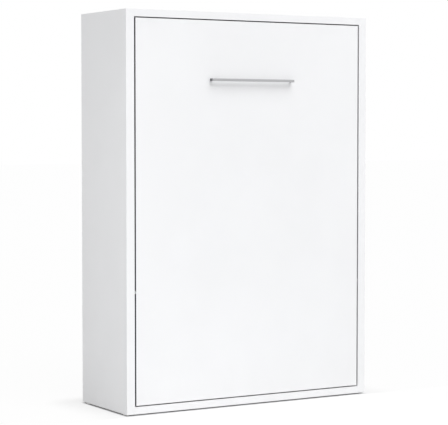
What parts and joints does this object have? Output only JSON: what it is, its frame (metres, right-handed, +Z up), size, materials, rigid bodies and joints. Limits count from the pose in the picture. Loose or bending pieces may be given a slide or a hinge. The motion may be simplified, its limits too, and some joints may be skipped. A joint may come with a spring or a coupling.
{
  "type": "wall bed",
  "caption": "Vertical wall bed: a cabinet of thick white boards whose handled front panel folds down on gas springs as a slatted bed with a mattress and a folding leg.",
  "frame": {"origin": "middle of the floor under the whole object, handle included", "axes": "+Z up, -Y out of the front panel towards the room, +Y towards the wall, +X to the right seen from the front"},
  "size_m": [1.56, 0.576, 2.18],
  "materials": {
    "white_board": "satin",
    "back_sheet": "matte",
    "white_plastic": "matte",
    "zinc_plate": "satin",
    "birch": "matte",
    "steel_plate": "satin",
    "polished_steel": "polished",
    "black_enamel": "satin",
    "brushed_handle": "satin",
    "grey_enamel": "satin",
    "black_plastic": "matte",
    "black_rubber": "matte",
    "mattress_cloth": "matte",
    "webbing": "matte"
  },
  "bodies": {
    "cabinet": {"left_side_panel": "white_board", "right_side_panel": "white_board", "top_panel": "white_board", "bottom_panel": "white_board", "upper_back_rail": "white_board", "middle_back_rail": "white_board", "lower_back_rail": "white_board", "back_panel_upper": "back_sheet", "back_panel_lower": "back_sheet", "back_panel_joiner": "white_plastic", "floor_glides": "white_plastic", "wall_fixing_plates": "zinc_plate", "cam_locks": "zinc_plate", "cam_bolts": "zinc_plate", "back_rail_dowels": "birch", "left_mechanism_plate": "steel_plate", "right_mechanism_plate": "steel_plate", "mechanism_plate_screws": "zinc_plate", "left_pivot_axle": "polished_steel", "right_pivot_axle": "polished_steel", "spring_studs": "zinc_plate", "door_stops": "black_rubber"},
    "bed": {"front_panel": "white_board", "edge_guide_buttons": "white_plastic", "handle_bar": "brushed_handle", "handle_posts": "brushed_handle", "handle_screws": "zinc_plate", "left_side_rail": "grey_enamel", "right_side_rail": "grey_enamel", "head_rail": "grey_enamel", "foot_rail": "grey_enamel", "centre_beam": "grey_enamel", "cross_rails": "grey_enamel", "panel_brackets": "zinc_plate", "panel_bracket_screws": "zinc_plate", "left_bed_plate": "steel_plate", "right_bed_plate": "steel_plate", "bed_plate_screws": "zinc_plate", "pivot_bushes": "white_plastic", "slats": "birch", "side_slat_holders": "black_plastic", "centre_slat_holders": "black_plastic", "mattress": "mattress_cloth", "mattress_straps": "webbing", "strap_anchors": "black_plastic", "leg_brackets": "steel_plate", "leg_bracket_screws": "zinc_plate", "leg_pivot_studs": "zinc_plate"},
    "leg": {"leg_arms": "grey_enamel", "leg_cranks": "steel_plate", "leg_crossbar": "grey_enamel", "leg_feet": "black_rubber"},
    "gas_cylinder_left": {"left_gas_cylinder": "black_enamel"},
    "gas_cylinder_right": {"right_gas_cylinder": "black_enamel"},
    "gas_rod_left": {"left_gas_rod": "polished_steel", "left_tail_bolt": "zinc_plate"},
    "gas_rod_right": {"right_gas_rod": "polished_steel", "right_tail_bolt": "zinc_plate"}
  },
  "joints": [
    {"name": "bed_fold", "type": "hinge", "parent": "cabinet", "child": "bed", "pos_m": [0, -0.207, 0.33], "axis": [1, 0, 0], "range_deg": [0, 90]},
    {"name": "leg_fold", "type": "hinge", "parent": "bed", "child": "leg", "pos_m": [0, -0.177, 2.107], "axis": [1, 0, 0], "range_deg": [0, 216]},
    {"name": "left_spring_tilt", "type": "hinge", "parent": "cabinet", "child": "gas_cylinder_left", "pos_m": [-0.714, -0.147, 0.65], "axis": [1, 0, 0], "range_deg": [0, 32.25]},
    {"name": "right_spring_tilt", "type": "hinge", "parent": "cabinet", "child": "gas_cylinder_right", "pos_m": [0.714, -0.147, 0.65], "axis": [1, 0, 0], "range_deg": [0, 32.25]},
    {"name": "left_spring_stroke", "type": "slide", "parent": "gas_cylinder_left", "child": "gas_rod_left", "axis": [0, -0.1115, -0.9938], "range_m": [-0.1829, 0]},
    {"name": "right_spring_stroke", "type": "slide", "parent": "gas_cylinder_right", "child": "gas_rod_right", "axis": [0, -0.1115, -0.9938], "range_m": [-0.1829, 0]}
  ],
  "couplings": [
    {"joint": "leg_fold", "follows": "bed_fold", "ratio": 2.4},
    {"joint": "left_spring_tilt", "follows": "bed_fold", "ratio": 0.35826},
    {"joint": "right_spring_tilt", "follows": "bed_fold", "ratio": 0.35826},
    {"joint": "left_spring_stroke", "follows": "bed_fold", "m_per_rad": -0.11637},
    {"joint": "right_spring_stroke", "follows": "bed_fold", "m_per_rad": -0.11637}
  ]
}
